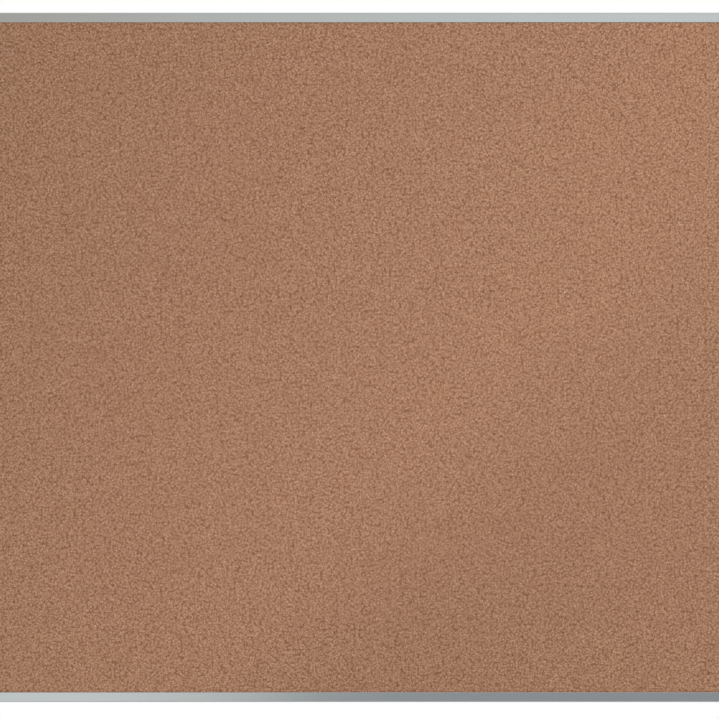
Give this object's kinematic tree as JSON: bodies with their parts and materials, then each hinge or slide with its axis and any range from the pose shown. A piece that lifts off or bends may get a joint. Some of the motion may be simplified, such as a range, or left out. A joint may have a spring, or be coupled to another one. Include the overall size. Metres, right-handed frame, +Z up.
{
  "type": "cork bulletin board",
  "caption": "Wide wall-hung cork bulletin board in a mitred aluminium channel frame, with keyhole hanger clips that slide in the frame's rear slots, and wall bumpers.",
  "frame": {"origin": "centre of the board's box: midway across, midway up, and midway between the frame's front face and the wall plane of the bumpers", "axes": "+X along the board to the reader's right, +Y from the pinning face back to the wall, +Z up"},
  "size_m": [1.8288, 0.0282, 1.2192],
  "materials": {
    "cork": "matte",
    "fiberboard": "matte",
    "hardboard": "matte",
    "anodised_aluminium": "satin",
    "zinc_plated_steel": "satin",
    "blackened_steel": "satin",
    "bumper_rubber": "matte"
  },
  "bodies": {
    "board": {"cork_sheet": "cork", "fiberboard_core": "fiberboard", "hardboard_back": "hardboard", "top_rail": "anodised_aluminium", "right_rail": "anodised_aluminium", "bottom_rail": "anodised_aluminium", "left_rail": "anodised_aluminium", "corner_key_top_left": "zinc_plated_steel", "corner_shim_top_left": "zinc_plated_steel", "corner_screw_top_left_1": "blackened_steel", "corner_screw_top_left_2": "blackened_steel", "corner_screw_top_left_3": "blackened_steel", "corner_screw_top_left_4": "blackened_steel", "corner_key_top_right": "zinc_plated_steel", "corner_shim_top_right": "zinc_plated_steel", "corner_screw_top_right_1": "blackened_steel", "corner_screw_top_right_2": "blackened_steel", "corner_screw_top_right_3": "blackened_steel", "corner_screw_top_right_4": "blackened_steel", "corner_key_bottom_right": "zinc_plated_steel", "corner_shim_bottom_right": "zinc_plated_steel", "corner_screw_bottom_right_1": "blackened_steel", "corner_screw_bottom_right_2": "blackened_steel", "corner_screw_bottom_right_3": "blackened_steel", "corner_screw_bottom_right_4": "blackened_steel", "corner_key_bottom_left": "zinc_plated_steel", "corner_shim_bottom_left": "zinc_plated_steel", "corner_screw_bottom_left_1": "blackened_steel", "corner_screw_bottom_left_2": "blackened_steel", "corner_screw_bottom_left_3": "blackened_steel", "corner_screw_bottom_left_4": "blackened_steel", "bumper_top_left": "bumper_rubber", "bumper_top_right": "bumper_rubber", "bumper_bottom_left": "bumper_rubber", "bumper_bottom_right": "bumper_rubber"},
    "hanger_top_left": {"hanger_top_left_clip": "zinc_plated_steel", "hanger_top_left_screw_1": "blackened_steel", "hanger_top_left_screw_2": "blackened_steel"},
    "hanger_top_right": {"hanger_top_right_clip": "zinc_plated_steel", "hanger_top_right_screw_1": "blackened_steel", "hanger_top_right_screw_2": "blackened_steel"},
    "hanger_bottom_left": {"hanger_bottom_left_clip": "zinc_plated_steel", "hanger_bottom_left_screw_1": "blackened_steel", "hanger_bottom_left_screw_2": "blackened_steel"},
    "hanger_bottom_right": {"hanger_bottom_right_clip": "zinc_plated_steel", "hanger_bottom_right_screw_1": "blackened_steel", "hanger_bottom_right_screw_2": "blackened_steel"}
  },
  "joints": [
    {"name": "hanger_top_left_slide", "type": "slide", "parent": "board", "child": "hanger_top_left", "axis": [1, 0, 0], "range_m": [-0.23, 0.583]},
    {"name": "hanger_top_right_slide", "type": "slide", "parent": "board", "child": "hanger_top_right", "axis": [1, 0, 0], "range_m": [-0.583, 0.23]},
    {"name": "hanger_bottom_left_slide", "type": "slide", "parent": "board", "child": "hanger_bottom_left", "axis": [1, 0, 0], "range_m": [-0.23, 0.583]},
    {"name": "hanger_bottom_right_slide", "type": "slide", "parent": "board", "child": "hanger_bottom_right", "axis": [1, 0, 0], "range_m": [-0.583, 0.23]}
  ]
}
